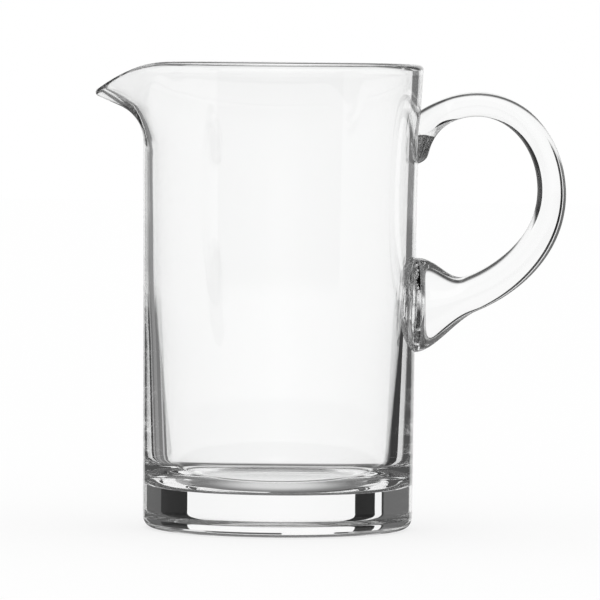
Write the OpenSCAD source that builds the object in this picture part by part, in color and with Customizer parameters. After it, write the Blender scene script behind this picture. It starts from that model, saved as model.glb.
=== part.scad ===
// Clear glass pitcher: a thick-based blown body with a pulled pouring lip and a pressed-on loop handle.
// Millimetres, +Z up, the origin on the body's axis at the table, the lip towards -X, the handle towards +X.

/* [Body] */
// Height from the table to the crest of the rim
body_height = 200; // [170:1:240]
// Outer diameter at the foot
foot_d = 116; // [100:1:140]
// Gain of the outer radius from the table to the rim on the straight side
side_taper = 1.2; // [0:0.1:4]
// Further gain of the outer radius where the side flares to the rim
rim_flare = 2.2; // [0:0.1:5]
// Height of the flared zone under the rim
flare_height = 70; // [50:1:100]
// Radius of the rounded edge round the foot
foot_edge_r = 5; // [2:0.5:8]
// Diameter of the shallow hollow under the foot
punt_d = 72; // [40:1:84]
// Depth of that hollow at its centre
punt_depth = 1.2; // [0.4:0.1:3]

/* [Inside] */
// Thickness of the solid glass floor
floor_t = 17; // [12:0.5:26]
// Wall thickness where the inside meets the floor
floor_wall_t = 11.2; // [8:0.1:16]
// Wall thickness at the knee, its thinnest
wall_t = 4.6; // [3.4:0.1:6]
// Height of the knee, below which the wall thickens
knee_height = 98; // [80:1:130]
// Height over which the knee is eased
knee_ease = 36; // [10:1:50]
// Thickness of the fire-polished rim
rim_t = 5.1; // [3.5:0.1:7]
// Radius of the corner between the inside wall and the floor
floor_corner_r = 15; // [6:0.5:18]

/* [Lip] */
// How far the lip reaches beyond the rim
lip_reach = 18.5; // [10:0.5:26]
// How far the middle of the lip's edge lies below the crest of the rim
lip_drop = 13; // [6:0.5:18]
// Rise of the lip's underside towards its edge, in degrees
lip_slope = 24; // [12:1:40]
// Radius of the bend under the lip
lip_bend_r = 16.5; // [10:0.5:22]
// Thickness of the lip's edge
lip_t = 3.4; // [2:0.1:5]
// Half of the arc of rim that the lip is pulled from, in degrees
lip_half_angle = 48; // [30:1:60]
// Height of the zone under the rim that the lip is pulled from
lip_height = 50; // [46:1:60]

/* [Handle] */
// Height of the lower pad's centre
pad_height = 96.6; // [80:0.2:110]
// Length of the lower pad up the wall
pad_length = 40.6; // [30:0.2:46]
// Reach over which that length narrows to the rod
pad_flare = 24; // [16:0.5:30]
// Width of the lower pad round the wall
pad_w = 34; // [24:0.5:40]
// Reach over which that width narrows to the rod
pad_fillet = 8; // [4:0.5:12]
// Depth behind the wall's nearest line at which the width starts to narrow
pad_depth = 2; // [0:0.1:3]
// Least height of the pad's edge over the wall, which limits that depth
pad_edge_t = 0.5; // [0.5:0.1:1.5]
// Distance behind the wall at which the loop's lower arc is level
pad_lead = 4.5; // [0:0.5:10]
// Diameter of the rod where it leaves the pad
rod_low_d = 17.6; // [13:0.1:20]
// Diameter of the rod at its furthest from the body
rod_side_d = 12.6; // [9:0.1:15]
// Diameter of the rod at the top of the loop
rod_top_d = 10.6; // [8:0.1:14]
// Width of the rod over its thickness
rod_width_ratio = 1.05; // [0.9:0.01:1.4]
// Clear gap for the fingers between the wall and the rod
finger_gap = 51.5; // [40:0.5:65]
// Height of the rod's furthest point
side_height = 145.2; // [130:0.2:155]
// How far the top of the loop lies below the crest of the rim
loop_drop = 11.5; // [4:0.5:20]
// Distance of the loop's top from the wall
loop_top_gap = 24.5; // [18:0.5:34]
// How far the upper weld's centre lies below the loop's own centre line
weld_drop = 24; // [18:0.5:30]
// Depth to which the pressed end sinks past the wall's surface
weld_sink = 3.1; // [1.5:0.1:3.4]
// Width of the upper weld along the wall
weld_w = 20; // [14:0.5:30]
// Gain of the rod's thickness where it is pressed on
weld_swell = 3.2; // [0:0.1:5]

/* [Hidden] */
$fn = 96;
flare_z = body_height - flare_height;
rim_z = body_height - rim_t / 2;
lip_base_z = body_height - lip_height;
punt_steps = 8;
punt_over = 1.2;
foot_steps = 6;
outer_steps = 4;
inner_steps = 10;
corner_steps = 6;
rim_steps = 8;
lip_wall_steps = 2;
lip_bend_steps = 8;
lip_edge_steps = 5;
lip_side_steps = lip_wall_steps + lip_bend_steps + lip_edge_steps;
lip_turn_steps = 32;
back_turn_steps = 48;
lip_lift_power = 1.7;
seat_steps = 40;
rod_sides = 28;
rod_step = 4.5;
pad_steps = 9;
side_angle = 0;
top_angle = 90;
weld_start_angle = 110;
weld_full_angle = 165;
tail_start_angle = 160;
tail_end_angle = 186;
tail_power = 4;
glass_colour = [0.86, 0.9, 0.92];

function mix(a, b, share) = a + (b - a) * share;
function ease(x) = let (s = min(1, max(0, x))) s * s * (3 - 2 * s);
function reverse(list) = [for (i = [len(list) - 1 : -1 : 0]) list[i]];

// The outer and inner radius of the turned body at a height
function outer_r(z) =
    foot_d / 2 + side_taper * z / body_height + rim_flare * pow(max(0, z - flare_z) / flare_height, 2);
knee_r = outer_r(knee_height) - wall_t;
floor_r = outer_r(floor_t) - floor_wall_t;
low_slope = (knee_r - floor_r) / (knee_height - floor_t);
high_slope = (outer_r(rim_z) - rim_t - knee_r) / (rim_z - knee_height);
function knee_gain(x) = pow(x + knee_ease / 2, 2) / (2 * knee_ease);
function inner_r(z) =
    let (x = z - knee_height, half = knee_ease / 2)
    x <= -half ? knee_r + low_slope * x
    : x >= half ? knee_r + high_slope * x
    : knee_r + low_slope * x + (high_slope - low_slope) * knee_gain(x);

// Stretches of the body's half section, each a list of [radius, height]
function arc(centre, r, from, to, steps) =
    [for (i = [0 : steps]) let (a = mix(from, to, i / steps)) centre + r * [cos(a), sin(a)]];
function outer_side(from, to, steps) =
    [for (i = [0 : steps]) let (z = mix(from, to, i / steps)) [outer_r(z), z]];
function inner_side(from, to, steps) =
    [for (i = [0 : steps]) let (z = mix(from, to, i / steps)) [inner_r(z), z]];
function between(list) = [for (i = [1 : len(list) - 2]) list[i]];
punt = [for (i = [0 : punt_steps])
    let (s = punt_over * i / punt_steps)
    [s * punt_d / 2, punt_depth * (1 - s * s)]];
foot_edge = arc([outer_r(foot_edge_r) - foot_edge_r, foot_edge_r], foot_edge_r, -90, 0, foot_steps);
corner_angle = atan(low_slope);
corner_centre = [floor_r + (low_slope - 1 / cos(corner_angle)) * floor_corner_r, floor_t + floor_corner_r];
corner_top_z = corner_centre[1] - floor_corner_r * sin(corner_angle);
floor_corner = arc(corner_centre, floor_corner_r, -corner_angle, -90, corner_steps);
rim_centre = [outer_r(rim_z) - rim_t / 2, rim_z];
below_rim = concat(foot_edge, between(outer_side(foot_edge_r, lip_base_z, outer_steps)));
inside = concat(between(inner_side(lip_base_z, corner_top_z, inner_steps)), floor_corner);

// The half section of the plain rim zone, from the outside over the crest to the inside
plain_rim = concat(outer_side(lip_base_z, rim_z, lip_side_steps),
    between(arc(rim_centre, rim_t / 2, 0, 180, rim_steps)),
    inner_side(rim_z, lip_base_z, lip_side_steps));

// The half section through the middle of the lip, with as many points as the plain one
lip_up = [-sin(lip_slope), cos(lip_slope)];
lip_edge_centre = [outer_r(rim_z) + lip_reach - lip_t / 2, body_height - lip_drop];
function lip_side(wall_r, bend_r, edge) =
    let (
        corner_z = edge[1] - (edge[0] - wall_r) * tan(lip_slope),
        bend_z = corner_z - bend_r * tan((90 - lip_slope) / 2),
        bend = arc([wall_r + bend_r, bend_z], bend_r, 180, 90 + lip_slope, lip_bend_steps),
        bend_end = bend[lip_bend_steps]
    )
    concat([for (i = [0 : lip_wall_steps - 1]) [wall_r, mix(lip_base_z, bend_z, i / lip_wall_steps)]], bend,
        [for (i = [1 : lip_edge_steps]) mix(bend_end, edge, i / lip_edge_steps)]);
lip_rim = concat(
    lip_side(outer_r(lip_base_z), lip_bend_r, lip_edge_centre - lip_up * lip_t / 2),
    between(arc(lip_edge_centre, lip_t / 2, lip_slope - 90, lip_slope + 90, rim_steps)),
    reverse(lip_side(inner_r(lip_base_z), lip_bend_r + wall_t, lip_edge_centre + lip_up * lip_t / 2)));

// How strongly the rim is pulled at an angle from the middle of the lip, 1 there and 0 at its ends
function lip_pull(angle) =
    abs(angle) >= lip_half_angle ? 0 : pow((1 + cos(180 * angle / lip_half_angle)) / 2, 2);

// The angles round the body, closer together along the lip
turns = concat([for (i = [0 : lip_turn_steps]) mix(lip_half_angle, -lip_half_angle, i / lip_turn_steps)],
    [for (i = [1 : back_turn_steps - 1]) mix(-lip_half_angle, lip_half_angle - 360, i / back_turn_steps)]);
plain_section = concat(below_rim, plain_rim, inside);
lip_section = concat(below_rim, lip_rim, inside);
function body_ring(plain, pulled) =
    [for (angle = turns)
        let (pull = lip_pull(angle), r = mix(plain[0], pulled[0], pull))
        [-r * cos(angle), r * sin(angle), mix(plain[1], pulled[1], pow(pull, lip_lift_power))]];

// A closed skin over rings of equally many points, with flat ends
module skin(rings) {
    n = len(rings[0]);
    last = len(rings) - 1;
    points = [for (ring = rings) each ring];
    sides = [for (k = [0 : last - 1]) for (i = [0 : n - 1])
        let (a = k * n + i, b = k * n + (i + 1) % n)
        each [[a, b, a + n], [b, b + n, a + n]]];
    ends = [[for (i = [n - 1 : -1 : 0]) i], [for (i = [0 : n - 1]) last * n + i]];
    polyhedron(points, concat(sides, ends), convexity = 8);
}

module body() {
    color(glass_colour, 0.5)
        difference() {
            skin([for (k = [0 : len(plain_section) - 1]) body_ring(plain_section[k], lip_section[k])]);
            rotate_extrude() polygon(concat(punt, [[0, punt[punt_steps][1]]]));
        }
}

// The centre line of the handle is three arcs of ellipses, told by an angle from the pad round to the tail
loop_z = body_height - loop_drop - rod_top_d / 2;
pad_x = outer_r(pad_height);
side_x = outer_r(side_height) + finger_gap + rod_side_d / 2;
top_x = outer_r(loop_z) + loop_top_gap;
weld_z = loop_z - weld_drop;
weld_x = outer_r(weld_z) - weld_sink;
low_radius_x = side_x - pad_x + pad_lead;
low_radius_z = (side_height - pad_height) / sqrt(1 - pow(pad_lead / low_radius_x, 2));
function arc_centre(t) =
    t < side_angle ? [pad_x - pad_lead, side_height] : t < top_angle ? [top_x, side_height] : [top_x, weld_z];
function arc_radii(t) =
    t < side_angle ? [low_radius_x, low_radius_z]
    : t < top_angle ? [side_x - top_x, loop_z - side_height]
    : [top_x - weld_x, weld_drop];
function spine(t) = let (c = arc_centre(t), r = arc_radii(t)) [c[0] + r[0] * cos(t), c[1] + r[1] * sin(t)];
function spine_normal(t) = let (r = arc_radii(t), n = [r[1] * cos(t), r[0] * sin(t)]) n / norm(n);
function low_angle(reach) = -acos((reach + pad_lead) / low_radius_x);
pad_angle = low_angle(0);

// How far the wall falls back at the pad's sides, and where the pad's width starts to narrow
pad_sag = pad_x - sqrt(pow(pad_x, 2) - pow(pad_w / 2, 2));
pad_start = min(pad_depth, pad_sag - pad_edge_t);

// Half the rod's thickness and width along the loop, with the pad's flare, the upper weld and its tail
function rod_r(t) =
    let (
        x = t / top_angle,
        bend = (rod_low_d + rod_top_d) / 2 - rod_side_d,
        tilt = (rod_top_d - rod_low_d) / 2
    )
    (rod_side_d + tilt * x + bend * x * x) / 2;
function reach_at(t) = t > side_angle ? pad_flare : spine(t)[0] - pad_x;
function pad_share(reach) = (1 + cos(180 * min(1, max(0, reach) / pad_flare))) / 2;
function pad_spread(reach) =
    let (x = min(1, max(0, reach + pad_start) / pad_fillet)) 1 - sqrt(x * (2 - x));
function weld_share(t) = ease((t - weld_start_angle) / (weld_full_angle - weld_start_angle));
function tail_share(t) =
    sqrt(1 - pow(max(0, t - tail_start_angle) / (tail_end_angle - tail_start_angle), tail_power));
function half_t(t, reach) =
    (mix(rod_r(t), pad_length / 2, pad_share(reach)) + weld_swell / 2 * weld_share(t)) * tail_share(t);
function half_w(t, reach) =
    mix(mix(rod_r(t) * rod_width_ratio, pad_w / 2, pad_spread(reach)), weld_w / 2, weld_share(t))
    * tail_share(t);

// A section of the handle, square to the loop but upright in the pad.
// A reach below 0 leads straight into the wall.
function handle_ring(t, reach) =
    let (
        upright = mix(spine_normal(t), [0, -1], sqrt(pad_share(reach))),
        normal = upright / norm(upright),
        centre = spine(t) + [min(0, reach), 0]
    )
    [for (i = [0 : rod_sides - 1])
        let (a = 360 * i / rod_sides, p = centre + normal * half_t(t, reach) * cos(a))
        [p[0], half_w(t, reach) * sin(a), p[1]]];

// The handle starts inside the body, so that cutting it with the outside of the body seats it on the wall
pad_inset = pad_sag + rim_flare;
module handle_blank() {
    reaches = [for (i = [0 : pad_steps]) mix(-pad_start, pad_fillet - pad_start, pow(i / pad_steps, 1.5))];
    first = low_angle(pad_fillet - pad_start) + rod_step;
    angles = concat([for (t = [first : rod_step : tail_start_angle]) t],
        [for (i = [1 : 9]) mix(tail_start_angle, tail_end_angle, 1 - pow(1 - i / 9.2, 2))]);
    skin(concat([handle_ring(pad_angle, -pad_inset)],
        [for (reach = reaches) handle_ring(low_angle(max(0, reach)), reach)],
        [for (t = angles) handle_ring(t, reach_at(t))]));
}

module handle() {
    color(glass_colour, 0.6)
        difference() {
            handle_blank();
            rotate_extrude()
                polygon(concat([[0, 0]], outer_side(0, body_height, seat_steps), [[0, body_height]]));
        }
}

body();
handle();
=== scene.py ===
import math

import bpy
from mathutils import Matrix, Vector
from mathutils.geometry import delaunay_2d_cdt


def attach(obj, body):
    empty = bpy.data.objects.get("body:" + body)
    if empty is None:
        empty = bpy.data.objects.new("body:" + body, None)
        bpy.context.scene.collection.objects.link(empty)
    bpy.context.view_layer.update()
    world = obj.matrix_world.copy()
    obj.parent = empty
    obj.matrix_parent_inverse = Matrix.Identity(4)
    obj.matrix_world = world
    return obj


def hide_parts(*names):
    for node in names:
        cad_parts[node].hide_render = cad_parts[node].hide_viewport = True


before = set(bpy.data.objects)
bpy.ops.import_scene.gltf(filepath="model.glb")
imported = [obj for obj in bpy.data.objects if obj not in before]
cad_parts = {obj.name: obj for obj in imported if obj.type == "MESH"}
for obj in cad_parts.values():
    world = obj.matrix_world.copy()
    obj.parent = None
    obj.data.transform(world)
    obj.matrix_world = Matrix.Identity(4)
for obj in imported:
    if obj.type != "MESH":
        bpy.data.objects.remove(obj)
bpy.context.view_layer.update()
mm = 0.001  # the pieces and the camera are measured in millimetres, and the scene is in metres
print("frame loaded:", ", ".join(sorted(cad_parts)))


def mix(a, b, share):
    return a + (b - a) * share


def smoothStep(x):
    s = min(1.0, max(0.0, x))
    return s * s * (3 - 2 * s)


def linePoints(start, end, steps):
    return [(mix(start[0], end[0], i / steps), mix(start[1], end[1], i / steps)) for i in range(steps + 1)]


def arcPoints(centre, radius, start, end, steps):
    angles = [math.radians(mix(start, end, i / steps)) for i in range(steps + 1)]
    return [(centre[0] + radius * math.cos(a), centre[1] + radius * math.sin(a)) for a in angles]


def bandFaces(row, nextRow, flip=False):
    # faces between two closed rows of points
    count = len(row)
    faces = [(row[i], row[(i + 1) % count], nextRow[(i + 1) % count], nextRow[i]) for i in range(count)]
    return [face[::-1] for face in faces] if flip else faces


def fanFaces(row, tip, flip=False):
    # faces between a closed row of points and one point
    faces = [(row[i], row[(i + 1) % len(row)], tip) for i in range(len(row))]
    return [face[::-1] for face in faces] if flip else faces


def newPiece(name, points, faces, materials):
    mesh = bpy.data.meshes.new(name)
    mesh.from_pydata([(x * mm, y * mm, z * mm) for x, y, z in points], [], faces)
    for material in materials:
        mesh.materials.append(material)
    mesh.update()
    piece = bpy.data.objects.new(name, mesh)
    bpy.context.scene.collection.objects.link(piece)
    return piece


# materials

glassLook = {
    "ior": 1.52,
    "tint": (0.994, 0.996, 0.995, 1),
    "waveSize": 34,  # waves of the blown wall, per metre
    "waveHeight": 0.00002,  # metres
    "smearSize": 60,  # per metre
    "roughest": 0.012,
}
rodLook = {**glassLook, "waveSize": 90}  # the drawn rod has shorter waves
blownLook = {
    "waveStretch": (1, 1, 0.35),  # the waves run long along the axis that the glass was blown on
    "waveDetail": 1,
    "smearDetail": 6,
    "smearLevels": (0.52, 0.78),  # the noise between these goes from polished to the roughest
}


def blownSurfaceGroup():
    group = bpy.data.node_groups.new("blownSurface", "ShaderNodeTree")
    for name in ("Wave Size", "Smear Size", "Roughest"):
        group.interface.new_socket(name, in_out="INPUT", socket_type="NodeSocketFloat")
    for name in ("Height", "Roughness"):
        group.interface.new_socket(name, in_out="OUTPUT", socket_type="NodeSocketFloat")
    nodes, links = group.nodes, group.links
    inputs = nodes.new("NodeGroupInput")
    outputs = nodes.new("NodeGroupOutput")
    place = nodes.new("ShaderNodeTexCoord")
    stretch = nodes.new("ShaderNodeMapping")
    stretch.inputs["Scale"].default_value = blownLook["waveStretch"]
    waves = nodes.new("ShaderNodeTexNoise")
    waves.inputs["Detail"].default_value = blownLook["waveDetail"]
    smears = nodes.new("ShaderNodeTexNoise")
    smears.inputs["Detail"].default_value = blownLook["smearDetail"]
    smearRange = nodes.new("ShaderNodeMapRange")
    smearRange.inputs["From Min"].default_value = blownLook["smearLevels"][0]
    smearRange.inputs["From Max"].default_value = blownLook["smearLevels"][1]
    links.new(place.outputs["Object"], stretch.inputs["Vector"])
    links.new(stretch.outputs["Vector"], waves.inputs["Vector"])
    links.new(inputs.outputs["Wave Size"], waves.inputs["Scale"])
    links.new(place.outputs["Object"], smears.inputs["Vector"])
    links.new(inputs.outputs["Smear Size"], smears.inputs["Scale"])
    links.new(smears.outputs["Fac"], smearRange.inputs["Value"])
    links.new(inputs.outputs["Roughest"], smearRange.inputs["To Max"])
    links.new(waves.outputs["Fac"], outputs.inputs["Height"])
    links.new(smearRange.outputs["Result"], outputs.inputs["Roughness"])
    return group


def glassMaterial(name, surface, look):
    material = bpy.data.materials.new(name)
    material.use_nodes = True
    nodes, links = material.node_tree.nodes, material.node_tree.links
    glass = nodes["Principled BSDF"]
    glass.inputs["Base Color"].default_value = look["tint"]
    glass.inputs["Transmission Weight"].default_value = 1
    glass.inputs["IOR"].default_value = look["ior"]
    blown = nodes.new("ShaderNodeGroup")
    blown.node_tree = surface
    blown.inputs["Wave Size"].default_value = look["waveSize"]
    blown.inputs["Smear Size"].default_value = look["smearSize"]
    blown.inputs["Roughest"].default_value = look["roughest"]
    bump = nodes.new("ShaderNodeBump")
    bump.inputs["Strength"].default_value = 1
    bump.inputs["Distance"].default_value = look["waveHeight"]
    links.new(blown.outputs["Height"], bump.inputs["Height"])
    links.new(bump.outputs["Normal"], glass.inputs["Normal"])
    links.new(blown.outputs["Roughness"], glass.inputs["Roughness"])
    return material


def fusedMaterial(name):
    # where the handle is melted on, light goes from one gather to the other with no surface between them
    material = bpy.data.materials.new(name)
    material.use_nodes = True
    glass = material.node_tree.nodes["Principled BSDF"]
    glass.inputs["Base Color"].default_value = (1, 1, 1, 1)
    glass.inputs["Roughness"].default_value = 0
    glass.inputs["Transmission Weight"].default_value = 1
    glass.inputs["IOR"].default_value = 1.0
    return material


blownSurface = blownSurfaceGroup()
bodyGlass = glassMaterial("bodyGlass", blownSurface, glassLook)
handleGlass = glassMaterial("handleGlass", blownSurface, rodLook)
fusedSeat = fusedMaterial("fusedSeat")
print("glass mixed")


# body

bodyShape = {
    "height": 200, "footWidth": 116, "taper": 1.2, "rimFlare": 2.2, "flareHeight": 70,
    "footEdge": 5, "hollowWidth": 72, "hollowDepth": 1.2,
    "floor": 17, "floorWall": 11.2, "floorCorner": 15,
    "wall": 4.6, "knee": 98, "kneeEase": 36, "rim": 5.1,  # the wall thins up to the knee
    "lipReach": 18.5, "lipDrop": 13, "lipSlope": 24, "lipBend": 16.5, "lipEdge": 3.4,
    "lipHalfAngle": 48, "lipHeight": 50, "lipPower": 2, "lipLiftPower": 1.7,
}
bodySteps = {
    "hollow": 12, "foot": 4, "footEdge": 14, "outside": 58, "inside": 50, "corner": 16, "floor": 8,
    "lipWall": 6, "lipBend": 16, "lipFlat": 10, "rim": 20,
    "turn": 2, "lipTurn": 1,  # degrees between the rows of points round the body
}
rimCentre = bodyShape["height"] - bodyShape["rim"] / 2
lipBase = bodyShape["height"] - bodyShape["lipHeight"]


def outerRadius(z):
    flared = max(0.0, z - bodyShape["height"] + bodyShape["flareHeight"]) / bodyShape["flareHeight"]
    straight = bodyShape["footWidth"] / 2 + bodyShape["taper"] * z / bodyShape["height"]
    return straight + bodyShape["rimFlare"] * flared ** 2


kneeRadius = outerRadius(bodyShape["knee"]) - bodyShape["wall"]
floorRadius = outerRadius(bodyShape["floor"]) - bodyShape["floorWall"]
lowSlope = (kneeRadius - floorRadius) / (bodyShape["knee"] - bodyShape["floor"])
highSlope = (outerRadius(rimCentre) - bodyShape["rim"] - kneeRadius) / (rimCentre - bodyShape["knee"])


def innerRadius(z):
    x, ease = z - bodyShape["knee"], bodyShape["kneeEase"]
    if x <= -ease / 2:
        return kneeRadius + lowSlope * x
    if x >= ease / 2:
        return kneeRadius + highSlope * x
    return kneeRadius + lowSlope * x + (highSlope - lowSlope) * (x + ease / 2) ** 2 / (2 * ease)


def sideOf(radius, start, end, steps):
    return [(radius(z), z) for z in (mix(start, end, i / steps) for i in range(steps + 1))]


def lipSide(wallRadius, bend, edge):
    # up the wall, round the bend and out to the edge of the lip
    slope = math.radians(bodyShape["lipSlope"])
    cornerZ = edge[1] - (edge[0] - wallRadius) * math.tan(slope)
    bendZ = cornerZ - bend * math.tan((math.pi / 2 - slope) / 2)
    bendCentre = (wallRadius + bend, bendZ)
    wall = linePoints((wallRadius, lipBase), (wallRadius, bendZ), bodySteps["lipWall"])[:-1]
    bent = arcPoints(bendCentre, bend, 180, 90 + bodyShape["lipSlope"], bodySteps["lipBend"])
    flat = linePoints(bent[-1], edge, bodySteps["lipFlat"])[1:]
    return wall + bent + flat


def plainRim():
    sideSteps = bodySteps["lipWall"] + bodySteps["lipBend"] + bodySteps["lipFlat"]
    rimMiddle = (outerRadius(rimCentre) - bodyShape["rim"] / 2, rimCentre)
    return (sideOf(outerRadius, lipBase, rimCentre, sideSteps)
            + arcPoints(rimMiddle, bodyShape["rim"] / 2, 0, 180, bodySteps["rim"])[1:-1]
            + sideOf(innerRadius, rimCentre, lipBase, sideSteps))


def pulledRim():
    slope, half = bodyShape["lipSlope"], bodyShape["lipEdge"] / 2
    edgeX = outerRadius(rimCentre) + bodyShape["lipReach"] - half
    edge = Vector((edgeX, bodyShape["height"] - bodyShape["lipDrop"]))
    lift = Vector((-math.sin(math.radians(slope)), math.cos(math.radians(slope)))) * half
    innerBend = bodyShape["lipBend"] + bodyShape["wall"]
    return (lipSide(outerRadius(lipBase), bodyShape["lipBend"], edge - lift)
            + arcPoints(edge, half, slope - 90, slope + 90, bodySteps["rim"])[1:-1]
            + lipSide(innerRadius(lipBase), innerBend, edge + lift)[::-1])


def bodySections():
    # half sections from under the foot to the middle of the floor: a plain one, and one through the lip
    shape, steps = bodyShape, bodySteps
    hollowRadius = shape["hollowWidth"] / 2
    shares = [i / steps["hollow"] for i in range(1, steps["hollow"] + 1)]
    hollow = [(hollowRadius * share, shape["hollowDepth"] * (1 - share ** 2)) for share in shares]
    footCentre = (outerRadius(shape["footEdge"]) - shape["footEdge"], shape["footEdge"])
    foot = linePoints((hollowRadius, 0), (footCentre[0], 0), steps["foot"])[1:-1]
    footEdge = arcPoints(footCentre, shape["footEdge"], -90, 0, steps["footEdge"])
    outside = sideOf(outerRadius, shape["footEdge"], lipBase, steps["outside"])[1:-1]
    cornerAngle = math.atan(lowSlope)
    cornerX = floorRadius + (lowSlope - 1 / math.cos(cornerAngle)) * shape["floorCorner"]
    cornerCentre = (cornerX, shape["floor"] + shape["floorCorner"])
    cornerTop = cornerCentre[1] - shape["floorCorner"] * math.sin(cornerAngle)
    inside = sideOf(innerRadius, lipBase, cornerTop, steps["inside"])[1:-1]
    corner = arcPoints(cornerCentre, shape["floorCorner"], -math.degrees(cornerAngle), -90, steps["corner"])
    floor = linePoints((cornerX, shape["floor"]), (0, shape["floor"]), steps["floor"])[1:-1]
    below, above = hollow + foot + footEdge + outside, inside + corner + floor
    return below + plainRim() + above, below + pulledRim() + above


def lipPull(angle):
    if abs(angle) >= bodyShape["lipHalfAngle"]:
        return 0.0
    return ((1 + math.cos(math.pi * angle / bodyShape["lipHalfAngle"])) / 2) ** bodyShape["lipPower"]


def bodyTurns():
    # degrees from the middle of the lip, with closer rows along the lip
    half = bodyShape["lipHalfAngle"]
    lip = [half - bodySteps["lipTurn"] * i for i in range(int(2 * half / bodySteps["lipTurn"]))]
    rest = [-half - bodySteps["turn"] * i for i in range(int((360 - 2 * half) / bodySteps["turn"]))]
    return lip + rest


# handle

handleShape = {
    "padHeight": 96.6, "padTall": 40.6, "padWidth": 34, "padLead": 4.5,
    "padFlare": 24, "padDepth": 2, "padFillet": 8,  # the pad narrows over these, in height and in width
    "rodLow": 17.6, "rodSide": 12.6, "rodTop": 10.6,
    "rodWidth": 1.05,  # times the rod's thickness
    "fingerGap": 51.5, "sideHeight": 145.2, "loopDrop": 11.5, "loopTopGap": 24.5,
    "weldDrop": 24, "weldSink": 3.1, "weldWidth": 20, "weldSwell": 3.2,
    "weldStart": 110, "weldFull": 165, "tailStart": 160, "tailEnd": 186,  # degrees along the loop
    "tailPower": 4,
}
handleSteps = {
    "sides": 96, "pad": 24, "loop": 130, "tail": 40, "seat": 8,
    "padWay": 14, "tailTurn": 118,  # degrees between which the rings of the loop lie evenly
    "crowding": 1.5,  # the rings towards the wall lie closer
    "padReach": 20, "tailReach": 110,  # degrees along the loop as far as which a seat's edge is looked for
    "halvings": 60,  # of the stretch where it is looked for
    "crease": 35,  # degrees, from which an edge stays sharp
}
loopHeight = bodyShape["height"] - handleShape["loopDrop"] - handleShape["rodTop"] / 2
weldHeight = loopHeight - handleShape["weldDrop"]
padX = outerRadius(handleShape["padHeight"])
sideX = outerRadius(handleShape["sideHeight"]) + handleShape["fingerGap"] + handleShape["rodSide"] / 2
topX = outerRadius(loopHeight) + handleShape["loopTopGap"]
weldX = outerRadius(weldHeight) - handleShape["weldSink"]
lowRadius = sideX - padX + handleShape["padLead"]
leadShare = handleShape["padLead"] / lowRadius
lowDrop = (handleShape["sideHeight"] - handleShape["padHeight"]) / math.sqrt(1 - leadShare ** 2)
padTurn = -math.degrees(math.acos(leadShare))


def loopArc(turn):
    # centre and radii of the ellipse that the rod follows: up from the pad, over the top, down to the weld
    if turn < 0:
        return (padX - handleShape["padLead"], handleShape["sideHeight"]), (lowRadius, lowDrop)
    if turn < 90:
        return (topX, handleShape["sideHeight"]), (sideX - topX, loopHeight - handleShape["sideHeight"])
    return (topX, weldHeight), (topX - weldX, handleShape["weldDrop"])


def padShares(turn, sunk):
    # the pad narrows slowly in height and quickly in width
    if turn > 0:
        return 0, 0
    centre, radii = loopArc(turn)
    reach = centre[0] + radii[0] * math.cos(math.radians(turn)) - padX + sunk
    x = min(1, max(0, reach + handleShape["padDepth"]) / handleShape["padFillet"])
    flare = (1 + math.cos(math.pi * min(1, max(0, reach) / handleShape["padFlare"]))) / 2
    return flare, 1 - math.sqrt(x * (2 - x))


def rodShape(turn, sunk):
    # half the thickness and half the width of the rod, which is thinnest near the top of the loop
    shape = handleShape
    x = turn / 90
    bend = (shape["rodLow"] + shape["rodTop"]) / 2 - shape["rodSide"]
    tilt = (shape["rodTop"] - shape["rodLow"]) / 2
    rod = (shape["rodSide"] + tilt * x + bend * x * x) / 2
    pad, spread = padShares(turn, sunk)
    weld = smoothStep((turn - shape["weldStart"]) / (shape["weldFull"] - shape["weldStart"]))
    past = max(0, turn - shape["tailStart"]) / (shape["tailEnd"] - shape["tailStart"])
    tail = math.sqrt(max(0, 1 - past ** shape["tailPower"]))
    thick = (mix(rod, shape["padTall"] / 2, pad) + shape["weldSwell"] / 2 * weld) * tail
    wideRod = mix(rod * shape["rodWidth"], shape["padWidth"] / 2, spread)
    wide = mix(wideRod, shape["weldWidth"] / 2, weld) * tail
    return thick, wide


def handlePoint(way, angle):
    # way is in degrees along the loop from the pad, and below 0 it leads straight into the wall
    turn, sunk = max(0, way) + padTurn, min(0, way)
    (cx, cz), (rx, rz) = loopArc(turn)
    c, s = math.cos(math.radians(turn)), math.sin(math.radians(turn))
    upright = math.sqrt(padShares(turn, sunk)[0])
    normal = Vector((rz * c, rx * s)).normalized().lerp(Vector((0, -1)), upright).normalized()
    thick, wide = rodShape(turn, sunk)
    out = thick * math.cos(angle)
    x, z = cx + rx * c + normal.x * out + sunk, cz + rz * s + normal.y * out
    return Vector((x, wide * math.sin(angle), z))


def aboveWall(point):
    return math.hypot(point.x, point.y) - outerRadius(point.z)


def meetWall(angle, inside, outside):
    for _ in range(handleSteps["halvings"]):
        middle = (inside + outside) / 2
        if aboveWall(handlePoint(middle, angle)) > 0:
            outside = middle
        else:
            inside = middle
    return (inside + outside) / 2


def wallSpot(point):
    # a point of the wall, unrolled: along the wall from the handle's middle, and up
    return Vector((math.atan2(point.y, point.x) * padX, point.z))


def spotOnWall(spot):
    turn, radius = spot.x / padX, outerRadius(spot.y)
    return (radius * math.cos(turn), radius * math.sin(turn), spot.y)


def seatRings(loop, count):
    middle = sum(loop, Vector((0, 0))) / len(loop)
    return [[middle + (spot - middle) * (1 - i / count) for spot in loop] for i in range(1, count)], middle


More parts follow.
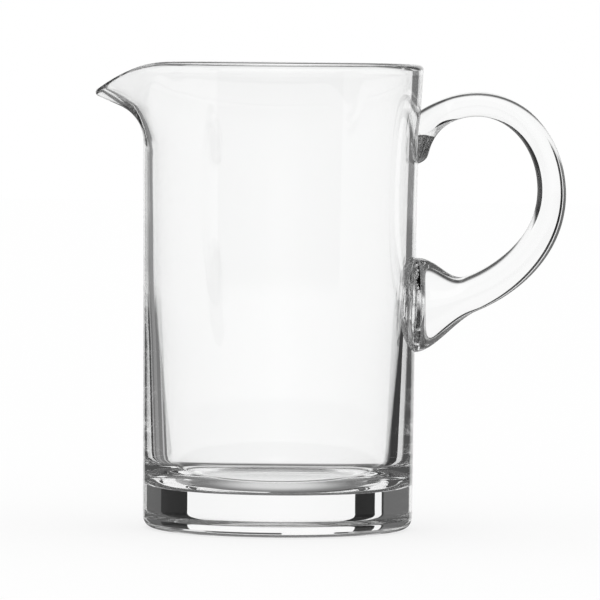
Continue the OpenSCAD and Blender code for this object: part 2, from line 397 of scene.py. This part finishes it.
def handleRings(angles):
    # ways along the loop, one for each side of each ring, from the pad's edge on the wall to the tail's
    steps = handleSteps
    tailLast = handleShape["tailEnd"] - padTurn - 0.001  # just short of where the tail closes
    padWays = [meetWall(a, -handleShape["padTall"] / 2, steps["padReach"]) for a in angles]
    tailWays = [meetWall(a, tailLast, steps["tailReach"] - padTurn) for a in angles]
    first, last = steps["padWay"], steps["tailTurn"] - padTurn
    crowding, padCount, tailCount = steps["crowding"], steps["pad"], steps["tail"]
    rings = [[mix(w, first, (i / padCount) ** crowding) for w in padWays] for i in range(padCount)]
    rings += [[mix(first, last, i / steps["loop"])] * len(angles) for i in range(steps["loop"])]
    for i in range(tailCount + 1):
        rings.append([mix(last, w, 1 - (1 - i / tailCount) ** crowding) for w in tailWays])
    return rings


def makeHandle():
    sides = handleSteps["sides"]
    angles = [2 * math.pi * i / sides for i in range(sides)]
    rings = handleRings(angles)
    points = [tuple(handlePoint(way, a)) for ring in rings for way, a in zip(ring, angles)]
    rows = [list(range(k * sides, (k + 1) * sides)) for k in range(len(rings))]
    faces = [face for row, nextRow in zip(rows, rows[1:]) for face in bandFaces(row, nextRow)]
    skinFaces = len(faces)
    seats = []
    for row, flip in ((rows[0], True), (rows[-1], False)):
        loop = [wallSpot(Vector(points[v])) for v in row]
        inner, middle = seatRings(loop, handleSteps["seat"])
        for ring in inner:
            nextRow = list(range(len(points), len(points) + sides))
            points += [spotOnWall(spot) for spot in ring]
            faces += bandFaces(row, nextRow, flip)
            row = nextRow
        faces += fanFaces(row, len(points), flip)
        points.append(spotOnWall(middle))
        seats.append((loop, inner, middle))
    handle = newPiece("handle_glass", points, faces, [handleGlass, fusedSeat])
    for i, polygon in enumerate(handle.data.polygons):
        polygon.use_smooth = True
        polygon.material_index = 0 if i < skinFaces else 1
    handle.data.set_sharp_from_angle(angle=math.radians(handleSteps["crease"]))
    return handle, seats


handle, seats = makeHandle()
print("handle drawn:", len(handle.data.polygons), "faces")


# body with the seats of the handle in its wall

seatWindow = {  # the stretch of wall behind the handle that is cut out and filled in round the two seats
    "bottom": 62, "top": 188, "halfTurn": 32,
    "clearance": 0.9,  # from the edge of a seat to the wall's own points
    "tolerance": 1e-6,
}


def wallNormal(x, y, z):
    step = 0.01
    slope = (outerRadius(z + step) - outerRadius(z - step)) / (2 * step)
    return Vector((x / math.hypot(x, y), y / math.hypot(x, y), -slope)).normalized()


def insideLoop(spot, loop):
    inside = False
    for a, b in zip(loop, loop[1:] + loop[:1]):
        if (a.y > spot.y) != (b.y > spot.y) and spot.x < a.x + (b.x - a.x) * (spot.y - a.y) / (b.y - a.y):
            inside = not inside
    return inside


def nearLoop(spot, loop, reach):
    return any((spot - p).length < reach for p in loop)


def makeBody(seats):
    plain, pulled = bodySections()
    turns = bodyTurns()
    count = len(turns)
    points = []
    for (r0, z0), (r1, z1) in zip(plain, pulled):
        for turn in turns:
            pull = lipPull(turn)
            r, z = mix(r0, r1, pull), mix(z0, z1, pull ** bodyShape["lipLiftPower"])
            points.append((-r * math.cos(math.radians(turn)), r * math.sin(math.radians(turn)), z))

    # the wall without its window, and the middles of the underside and the floor
    bottomRow = next(k for k, (r, z) in enumerate(plain) if z > seatWindow["bottom"])
    topRow = next(k for k, (r, z) in enumerate(plain) if z > seatWindow["top"])
    firstTurn = min(range(count), key=lambda i: abs(turns[i] + 180 - seatWindow["halfTurn"]))
    lastTurn = min(range(count), key=lambda i: abs(turns[i] + 180 + seatWindow["halfTurn"]))
    rows = [list(range(k * count, (k + 1) * count)) for k in range(len(plain))]
    faces = []
    for k in range(len(plain) - 1):
        for i, face in enumerate(bandFaces(rows[k], rows[k + 1])):
            if not (bottomRow <= k < topRow and firstTurn <= i < lastTurn):
                faces.append(face)
    underside, floor = len(points), len(points) + 1
    points += [(0, 0, bodyShape["hollowDepth"]), (0, 0, bodyShape["floor"])]
    faces += fanFaces(rows[0], underside, flip=True)
    faces += fanFaces(rows[-1], floor)

    # the window's own points, unrolled, with the edges that its triangles have to keep
    spots, owners = [], []
    loops = [loop for loop, inner, middle in seats]
    clearance = seatWindow["clearance"]
    for k in range(bottomRow, topRow + 1):
        for i in range(firstTurn, lastTurn + 1):
            spot = Vector((math.radians(-180 - turns[i]) * padX, plain[k][1]))
            edge = k in (bottomRow, topRow) or i in (firstTurn, lastTurn)
            if edge or not any(insideLoop(spot, loop) or nearLoop(spot, loop, clearance) for loop in loops):
                spots.append(spot)
                owners.append(k * count + i)
    at = {owner: n for n, owner in enumerate(owners)}
    edges = []
    for k in range(bottomRow, topRow):
        edges += [(at[k * count + i], at[(k + 1) * count + i]) for i in (firstTurn, lastTurn)]
    for i in range(firstTurn, lastTurn):
        edges += [(at[k * count + i], at[k * count + i + 1]) for k in (bottomRow, topRow)]
    for loop, inner, middle in seats:
        start = len(spots)
        for spot in loop + [s for ring in inner for s in ring] + [middle]:
            spots.append(spot)
            owners.append(len(points))
            points.append(spotOnWall(spot))
        edges += [(start + i, start + (i + 1) % len(loop)) for i in range(len(loop))]

    # output type 1 keeps the triangles inside the window
    _, _, triangles, oldOf, _, _ = delaunay_2d_cdt(spots, edges, [], 1, seatWindow["tolerance"], True)
    wallFaces = len(faces)
    fused = []
    for triangle in triangles:
        a, b, c = (oldOf[v][0] for v in triangle)
        middle = (spots[a] + spots[b] + spots[c]) / 3
        turned = (spots[b] - spots[a]).cross(spots[c] - spots[a]) < 0
        faces.append(tuple(owners[v] for v in ((a, c, b) if turned else (a, b, c))))
        fused.append(any(insideLoop(middle, loop) for loop in loops))

    # the points that the window left over are dropped
    used = sorted({v for face in faces for v in face})
    place = {v: i for i, v in enumerate(used)}
    points = [points[v] for v in used]
    faces = [tuple(place[v] for v in face) for face in faces]
    body = newPiece("body_glass", points, faces, [bodyGlass, fusedSeat])
    for i, polygon in enumerate(body.data.polygons):
        polygon.use_smooth = True
        polygon.material_index = 1 if i >= wallFaces and fused[i - wallFaces] else 0
    body.data.update()
    normals = [Vector(v.normal) for v in body.data.vertices]
    for v in {v for face in faces[wallFaces:] for v in face}:
        normals[v] = wallNormal(*points[v])
    body.data.normals_split_custom_set_from_vertices(normals)
    return body


body = makeBody(seats)
print("body drawn:", len(body.data.polygons), "faces")

for piece, node in ((body, "body"), (handle, "handle")):
    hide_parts(node)
    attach(piece, "root")
print("pieces ride on the frame")


# floor

floorSet = {
    "width": 9.0, "gap": 0.0002,  # metres
    "colour": (0.98, 0.98, 0.98, 1),
    "glow": 0.75,  # share of the floor's white that the camera sees without the shadow
}


def makeFloor():
    half, z = floorSet["width"] / 2, -floorSet["gap"]
    corners = [(-half, -half, z), (half, -half, z), (half, half, z), (-half, half, z)]
    mesh = bpy.data.meshes.new("floor")
    mesh.from_pydata(corners, [], [(0, 1, 2, 3)])
    material = bpy.data.materials.new("paleFloor")
    material.use_nodes = True
    nodes, links = material.node_tree.nodes, material.node_tree.links
    paint = nodes["Principled BSDF"]
    paint.inputs["Base Color"].default_value = floorSet["colour"]
    paint.inputs["Roughness"].default_value = 1
    paint.inputs["Specular IOR Level"].default_value = 0
    glow = nodes.new("ShaderNodeEmission")
    path = nodes.new("ShaderNodeLightPath")
    share = nodes.new("ShaderNodeMath")
    share.operation = "MULTIPLY"
    share.inputs[1].default_value = floorSet["glow"]
    both = nodes.new("ShaderNodeMixShader")
    links.new(path.outputs["Is Camera Ray"], share.inputs[0])
    links.new(share.outputs["Value"], both.inputs["Fac"])
    links.new(paint.outputs["BSDF"], both.inputs[1])
    links.new(glow.outputs["Emission"], both.inputs[2])
    links.new(both.outputs["Shader"], nodes["Material Output"].inputs["Surface"])
    mesh.materials.append(material)
    floor = bpy.data.objects.new("floor", mesh)
    bpy.context.scene.collection.objects.link(floor)
    floor.visible_transmission = False  # the glass shows the painted surroundings instead
    floor.visible_glossy = False


# surroundings, with painted shade for the glass

# These are painted shades that only the glass shows; the camera and the floor see plain white.
# What the glass shows of them depends on the direction and on how the light left it. A dictionary gives the
# shade from each bearing on, in degrees from +Y and negative towards the lip. A pair gives the elevations,
# in degrees, between which two shades blend.
paintedSurroundings = {
    # straight through solid glass
    "solid": {-180: 1.0, -150: 0.12, -106: 1.0, -74: 0.14, -42: 0.03, -39.5: 1.0, -36: 0.012, -25.5: 1.0,
              30.5: 0.012, 48: 0.11, 71: 1.0, 78: 0.12, 112: 1.0},
    # painted shade below the object, seen straight through solid glass
    "solidShadeBelow": {-180: 1.0, -65: 0.08, 65: 1.0}, "solidShadeBelowTop": (-40, -30),
    # painted shade overhead and underfoot, seen straight through solid glass
    "overhead": (40, 90), "overheadShade": 0.3,
    "underfoot": (-56, -90), "underfootShade": 0.3,
    # straight through both walls of the empty body
    "hollowSurfaces": 3.5,  # the light has passed more surfaces than this
    "hollow": {-180: 1.0, -44: 0.55, -27: 1.0, 34: 0.5, 50: 1.0},
    # painted shade below the object, seen straight through the empty body
    "hollowShadeBelow": {-180: 1.0, -32: 0.1, 35: 1.0}, "hollowShadeBelowTop": (-43, -35),
    "steep": (-20, -14),  # below these the level shades give way to white
    "shadeBelowEnd": (-56, -48),  # and below these the painted shades below do
    # painted shade for light turned once inside the glass: level, downwards, steeply down, upwards, and
    # through the empty body
    "onceTurns": 1.5,  # more turns than this, the way out of the glass counted with them
    "turned": {-180: 0.3, -125: 1.0, -38: 0.35, -26: 0.6, -22: 1.0, 20: 0.2, 37: 1.0, 125: 0.3},
    "turnedDown": {-180: 1.0, -53: 0.2, -49: 0.55, -45: 0.22, -38: 0.34, -32: 0.22, -27: 0.5, -25: 0.05,
                   -19.5: 1.0, -2: 0.08, 20: 0.3, 23: 0.85, 34: 0.03, 48: 0.08, 57: 1.0},
    "turnedDownTop": (-11, -7),
    "turnedSteep": (0.7, 0.2), "turnedFoot": (-80, -40), "turnedEdge": (-34, -26),
    "turnedUp": 0.16, "turnedRoof": (24, 32),
    "turnedHollow": 0.2, "turnedHollowLow": (-20, -12), "turnedHollowHigh": (6, 12),
    # painted shade for light turned a few times
    "fewTurns": 2.5,
    "caught": {-180: 0.13, -25: 1.0, 30: 0.13}, "caughtShade": 0.12,
    "caughtLow": (-7, -4.5), "caughtHigh": (4, 8),
    # painted shade for light turned many times
    "manyTurns": 5.5,
    "trapped": {-180: 0.08, -72: 1.0, 84: 0.08}, "trappedShade": 0.05, "trappedTop": (2, 8),
    "trappedFoot": (-58, -38), "trappedFootShade": 0.45,
    # painted reflection, mirrored on the surface, where the shades run into each other
    "shine": {-180: 0.8, -115: 0.1, -22: 0.1, -18: 1.0, 23: 1.0, 27: 0.1, 115: 0.1, 180: 0.8},
    "shineLow": (-9, -5), "shineLowShade": 0.08,
    "shineFoot": (-32, -20), "shineFootShade": 0.7,
}


def makeWorld():
    world = bpy.data.worlds.new("studio")
    bpy.context.scene.world = world
    world.use_nodes = True
    nodes, links = world.node_tree.nodes, world.node_tree.links
    background = nodes["Background"]
    background.inputs["Strength"].default_value = 1
    colourA, colourB, colourOut = 6, 7, 2  # places of the colour sockets on a mix node
    white = 1.0

    def maths(operation, first, second=None):
        node = nodes.new("ShaderNodeMath")
        node.operation = operation
        for socket, value in zip(node.inputs, (first, second)):
            if isinstance(value, (int, float)):
                socket.default_value = value
            elif value is not None:
                links.new(value, socket)
        return node.outputs["Value"]

    def blended(share, first, second):
        node = nodes.new("ShaderNodeMix")
        node.data_type = "RGBA"
        links.new(share, node.inputs["Factor"])
        for place, value in ((colourA, first), (colourB, second)):
            if isinstance(value, (int, float)):
                node.inputs[place].default_value = (value, value, value, 1)
            else:
                links.new(value, node.inputs[place])
        return node.outputs[colourOut]

    view = nodes.new("ShaderNodeTexCoord")
    axes = nodes.new("ShaderNodeSeparateXYZ")
    links.new(view.outputs["Generated"], axes.inputs["Vector"])
    x, y, z = axes.outputs
    elevation = maths("MULTIPLY", maths("ARCSINE", z), 180 / math.pi)
    bearing = maths("ADD", maths("DIVIDE", maths("ARCTAN2", x, y), 2 * math.pi), 0.5)

    def rising(pair):
        node = nodes.new("ShaderNodeMapRange")
        node.interpolation_type = "SMOOTHSTEP"
        links.new(elevation, node.inputs["Value"])
        node.inputs["From Min"].default_value, node.inputs["From Max"].default_value = paintedSurroundings[pair]
        return node.outputs["Result"]

    def around(shades, steps="CONSTANT"):
        node = nodes.new("ShaderNodeValToRGB")
        node.color_ramp.interpolation = steps
        stops = node.color_ramp.elements
        for number, (degrees, shade) in enumerate(paintedSurroundings[shades].items()):
            place = degrees / 360 + 0.5
            stop = stops[number] if number < len(stops) else stops.new(place)
            stop.position, stop.color = place, (shade, shade, shade, 1)
        links.new(bearing, node.inputs["Fac"])
        return node.outputs["Color"]

    path = nodes.new("ShaderNodeLightPath")
    glossy, passed = path.outputs["Is Glossy Ray"], path.outputs["Is Transmission Ray"]
    surfaces = path.outputs["Transmission Depth"]
    turns = maths("SUBTRACT", path.outputs["Ray Depth"], surfaces)  # the way out of the glass is one more
    hollow = maths("GREATER_THAN", surfaces, paintedSurroundings["hollowSurfaces"])

    # painted shade for light that went straight through the glass
    gentle = rising("steep")
    full = blended(gentle, white, around("solid"))
    fullShadeBelow = blended(rising("shadeBelowEnd"), white, around("solidShadeBelow"))
    full = blended(rising("solidShadeBelowTop"), fullShadeBelow, full)
    full = blended(rising("overhead"), full, paintedSurroundings["overheadShade"])
    full = blended(rising("underfoot"), full, paintedSurroundings["underfootShade"])
    empty = blended(gentle, white, around("hollow"))
    emptyShadeBelow = blended(rising("shadeBelowEnd"), white, around("hollowShadeBelow"))
    empty = blended(rising("hollowShadeBelowTop"), emptyShadeBelow, empty)
    straight = blended(hollow, full, empty)

    # painted shade for light that turned once inside the glass
    inWall = blended(rising("turnedDownTop"), around("turnedDown"), around("turned"))
    steepDown = blended(rising("turnedFoot"), *paintedSurroundings["turnedSteep"])
    inWall = blended(rising("turnedEdge"), steepDown, inWall)
    inWall = blended(rising("turnedRoof"), inWall, paintedSurroundings["turnedUp"])
    inBody = blended(rising("turnedHollowLow"), paintedSurroundings["turnedHollow"], white)
    inBody = blended(rising("turnedHollowHigh"), inBody, paintedSurroundings["turnedHollow"])
    once = blended(hollow, inWall, inBody)

    # painted shade for light that turned a few and many times inside the glass
    few = blended(rising("caughtLow"), paintedSurroundings["caughtShade"], around("caught"))
    few = blended(rising("caughtHigh"), few, paintedSurroundings["caughtShade"])
    many = blended(rising("trappedTop"), paintedSurroundings["trappedShade"], around("trapped"))
    many = blended(rising("trappedFoot"), paintedSurroundings["trappedFootShade"], many)

    through = blended(maths("GREATER_THAN", turns, paintedSurroundings["onceTurns"]), straight, once)
    often = blended(maths("GREATER_THAN", turns, paintedSurroundings["manyTurns"]), few, many)
    through = blended(maths("GREATER_THAN", turns, paintedSurroundings["fewTurns"]), through, often)

    # painted reflection on the outside of the glass
    paintedReflection = blended(rising("shineFoot"), paintedSurroundings["shineFootShade"], paintedSurroundings["shineLowShade"])
    paintedReflection = blended(rising("shineLow"), paintedReflection, around("shine", "LINEAR"))
    # reflected rays show the painted reflection, rays through the glass the painted shade, and the camera
    # and the floor plain white
    seen = blended(maths("MAXIMUM", maths("SUBTRACT", glossy, passed), 0), through, paintedReflection)
    links.new(blended(maths("MAXIMUM", glossy, passed), white, seen), background.inputs["Color"])


makeFloor()
makeWorld()
print("studio set up")


# camera

cameraSet = {
    "distance": 2940, "height": 233, "aim": (8.9, 0, 98.3),
    "frameWidth": 258,  # width of the picture at the object
    "roll": 0.5,  # degrees
    "sensorWidth": 36,
    "clip": (0.1, 30),  # metres
}
lightBounces = 64  # light turns many times where the glass is thick


def makeCamera():
    data = bpy.data.cameras.new("camera")
    data.sensor_width = cameraSet["sensorWidth"]
    data.lens = data.sensor_width * cameraSet["distance"] / cameraSet["frameWidth"]
    data.clip_start, data.clip_end = cameraSet["clip"]
    camera = bpy.data.objects.new("camera", data)
    bpy.context.scene.collection.objects.link(camera)
    aim = Vector(cameraSet["aim"]) * mm
    place = Vector((aim.x, -cameraSet["distance"] * mm, cameraSet["height"] * mm))
    turn = (aim - place).to_track_quat("-Z", "Y").to_matrix().to_4x4()
    roll = Matrix.Rotation(math.radians(cameraSet["roll"]), 4, "Z")
    camera.matrix_world = Matrix.Translation(place) @ turn @ roll
    bpy.context.scene.camera = camera


makeCamera()
scene = bpy.context.scene
scene.view_settings.view_transform = "Standard"
scene.cycles.max_bounces = lightBounces
scene.cycles.transmission_bounces = lightBounces
scene.cycles.glossy_bounces = lightBounces
print("camera placed")
